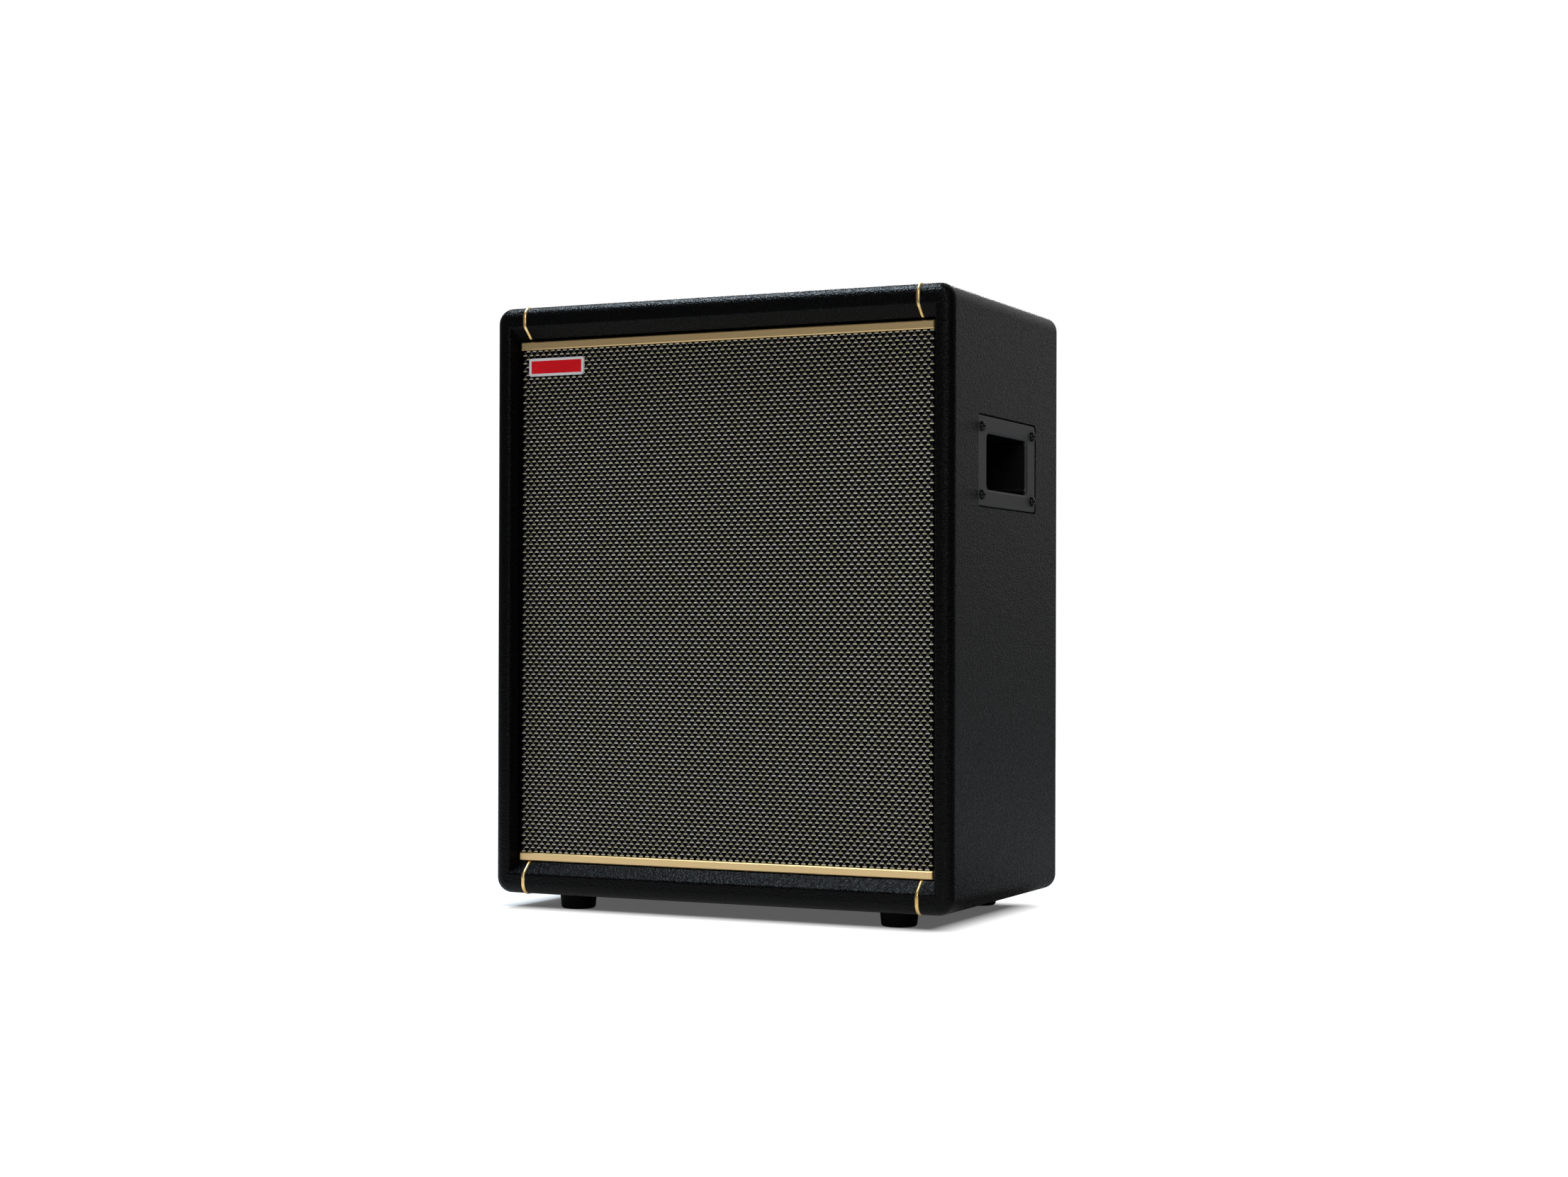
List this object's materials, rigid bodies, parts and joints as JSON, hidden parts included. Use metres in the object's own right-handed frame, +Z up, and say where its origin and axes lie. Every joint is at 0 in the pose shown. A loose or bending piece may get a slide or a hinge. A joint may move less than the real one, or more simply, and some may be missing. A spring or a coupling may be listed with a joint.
{
  "type": "guitar speaker cabinet",
  "caption": "Closed-back powered guitar speaker cabinet: black leatherette box with woven grille, gold trim bars and piping, recessed side handles, rubber feet.",
  "frame": {"origin": "on the floor under the middle of the box", "axes": "+Z up, the grille faces -Y"},
  "size_m": [0.4146, 0.2478, 0.5025],
  "materials": {
    "leatherette": "fine pebbled black leatherette",
    "gold_bar": "satin gold anodised",
    "gold_piping": "glossy gold bead",
    "plywood": "plain sanded plywood",
    "black_board": "black painted board",
    "grille_cloth": "woven black cloth with pale flecks",
    "hook_and_loop": "black hook-and-loop pile",
    "badge": "plain enamelled plate with a pale rim",
    "handle_plastic": "satin moulded black",
    "black_screw": "black oxide",
    "zinc_screw": "zinc plated",
    "foot_rubber": "moulded black rubber",
    "black_steel": "fine texture black paint",
    "plated_steel": "machined and plated",
    "ferrite": "ground ferrite",
    "cone_paper": "pressed paper pulp",
    "treated_cloth": "resin treated cloth",
    "copper_wire": "enamelled winding",
    "gasket_cork": "pressed cork",
    "circuit_board": "green solder mask",
    "capacitor": "printed sleeve, plain",
    "socket_plastic": "moulded black",
    "rocker": "polished black",
    "knob": "moulded black with a pale mark",
    "lead": "insulated wire"
  },
  "bodies": {
    "cabinet": {"top_board": "plywood", "bottom_board": "plywood", "left_side_board": "plywood", "right_side_board": "plywood", "top_front_rail": "plywood", "bottom_front_rail": "plywood", "left_covering": "leatherette", "right_covering": "leatherette", "top_covering": "leatherette", "bottom_covering": "leatherette", "gold_piping": "gold_piping", "baffle_cleats": "plywood", "back_cleats": "plywood", "baffle_board": "black_board", "back_panel": "black_board", "back_panel_screws": "black_screw", "left_handle_cup": "handle_plastic", "right_handle_cup": "handle_plastic", "handle_screws": "black_screw", "front_left_foot": "foot_rubber", "front_right_foot": "foot_rubber", "rear_left_foot": "foot_rubber", "rear_right_foot": "foot_rubber", "foot_screws": "zinc_screw", "driver_basket": "black_steel", "driver_gasket": "gasket_cork", "driver_magnet": "ferrite", "driver_top_plate": "plated_steel", "driver_back_plate": "plated_steel", "driver_terminal_strip": "circuit_board", "driver_bolts": "black_screw", "driver_surround": "treated_cloth", "driver_spider": "treated_cloth", "tweeter_horn": "handle_plastic", "tweeter_compression_driver": "black_steel", "tweeter_screws": "black_screw", "port_tube": "handle_plastic", "amp_tray": "black_steel", "amp_tray_screws": "black_screw", "amp_housing": "plated_steel", "amp_circuit_board": "circuit_board", "amp_capacitors": "capacitor", "input_socket": "socket_plastic", "link_socket": "socket_plastic", "mains_inlet": "socket_plastic", "power_switch_housing": "socket_plastic", "level_potentiometer": "plated_steel", "speaker_leads": "lead", "grille_pads": "hook_and_loop"},
    "grille": {"grille_frame": "black_board", "grille_cloth": "grille_cloth", "top_trim_bar": "gold_bar", "bottom_trim_bar": "gold_bar", "badge_plate": "badge"},
    "cone": {"driver_cone": "cone_paper", "driver_dust_cap": "cone_paper", "driver_voice_coil": "copper_wire"},
    "level_control": {"level_knob": "knob", "level_shaft": "plated_steel"},
    "rocker": {"power_rocker": "rocker"}
  },
  "joints": [
    {"name": "grille_pull_off", "type": "slide", "parent": "cabinet", "child": "grille", "axis": [0, -1, 0], "range_m": [0, 0.06]},
    {"name": "cone_travel", "type": "slide", "parent": "cabinet", "child": "cone", "axis": [0, -1, 0], "range_m": [-0.004, 0.004], "stiffness_N_per_m": 3300, "deforming": ["driver_surround", "driver_spider"]},
    {"name": "level_turn", "type": "hinge", "parent": "cabinet", "child": "level_control", "pos_m": [0, 0.0995, 0.1315], "axis": [0, -1, 0], "range_deg": [-150, 150]},
    {"name": "power_rock", "type": "hinge", "parent": "cabinet", "child": "rocker", "pos_m": [-0.036, 0.0985, 0.1315], "axis": [1, 0, 0], "range_deg": [0, 16]}
  ]
}
